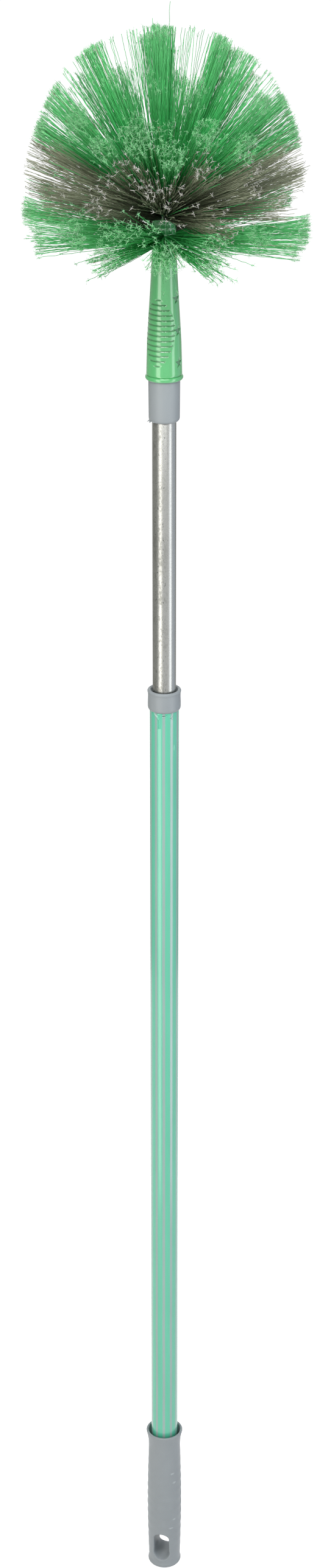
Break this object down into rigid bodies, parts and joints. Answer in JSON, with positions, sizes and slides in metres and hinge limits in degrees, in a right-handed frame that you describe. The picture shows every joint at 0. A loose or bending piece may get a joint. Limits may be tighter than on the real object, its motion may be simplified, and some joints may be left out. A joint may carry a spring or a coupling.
{
  "type": "telescopic cobweb brush",
  "caption": "Long-handled cobweb brush: a domed head of radiating bristles on a twist-lock telescopic pole with a grip and hanging slot.",
  "frame": {"origin": "centre of the flat butt end of the grip, on the axis of the pole", "axes": "+Z along the pole from the butt end towards the bristles; -Y is the side seen first, the hanging slot opens 13 degrees to its left"},
  "size_m": [0.1999, 0.198, 1.3037],
  "materials": {
    "steel_tube": "drawn thin steel tube",
    "striped_film": "shrunk mint film with grey stripes",
    "grey_plastic": "satin moulded polypropylene",
    "lock_plastic": "natural moulded nylon",
    "bright_steel": "bright galvanised, lightly mottled",
    "steel_fasteners": "zinc plated",
    "green_moulding": "glossy moulded polypropylene",
    "green_bristle": "drawn filament with split tips",
    "grey_bristle": "drawn filament with split tips"
  },
  "bodies": {
    "handle": {"outer_tube": "steel_tube", "tube_film": "striped_film", "collar": "grey_plastic", "grip": "grey_plastic"},
    "lock_sleeve": {"expander": "lock_plastic"},
    "lock_cone": {"cone_nut": "lock_plastic"},
    "pole": {"inner_tube": "bright_steel", "spindle_plug": "lock_plastic", "retaining_clip": "steel_fasteners", "stop_washer": "steel_fasteners", "stop_screw": "steel_fasteners", "pole_tip": "grey_plastic"},
    "head": {"brush_block": "green_moulding", "tuft_anchors": "steel_fasteners", "tufts_low_1": "green_bristle", "tufts_low_2": "green_bristle", "tufts_grey_1": "grey_bristle", "tufts_grey_2": "grey_bristle", "tufts_grey_3": "grey_bristle", "tufts_top_1": "green_bristle", "tufts_top_2": "green_bristle", "tufts_top_3": "green_bristle", "tufts_top_4": "green_bristle", "tufts_crown": "green_bristle"}
  },
  "joints": [
    {"name": "pole_extend", "type": "slide", "parent": "handle", "child": "lock_sleeve", "axis": [0, 0, 1], "range_m": [-0.2075, 0.455]},
    {"name": "pole_twist", "type": "hinge", "parent": "lock_sleeve", "child": "pole", "pos_m": [0, 0, 0.32], "axis": [0, 0, 1], "range_deg": [0, 180]},
    {"name": "cone_travel", "type": "slide", "parent": "lock_sleeve", "child": "lock_cone", "axis": [0, 0, -1], "range_m": [0, 0.004]},
    {"name": "head_unscrew", "type": "slide", "parent": "pole", "child": "head", "axis": [0, 0, 1], "range_m": [0, 0.034]}
  ],
  "couplings": [
    {"joint": "cone_travel", "follows": "pole_twist", "m_per_rad": 0.0012732}
  ]
}
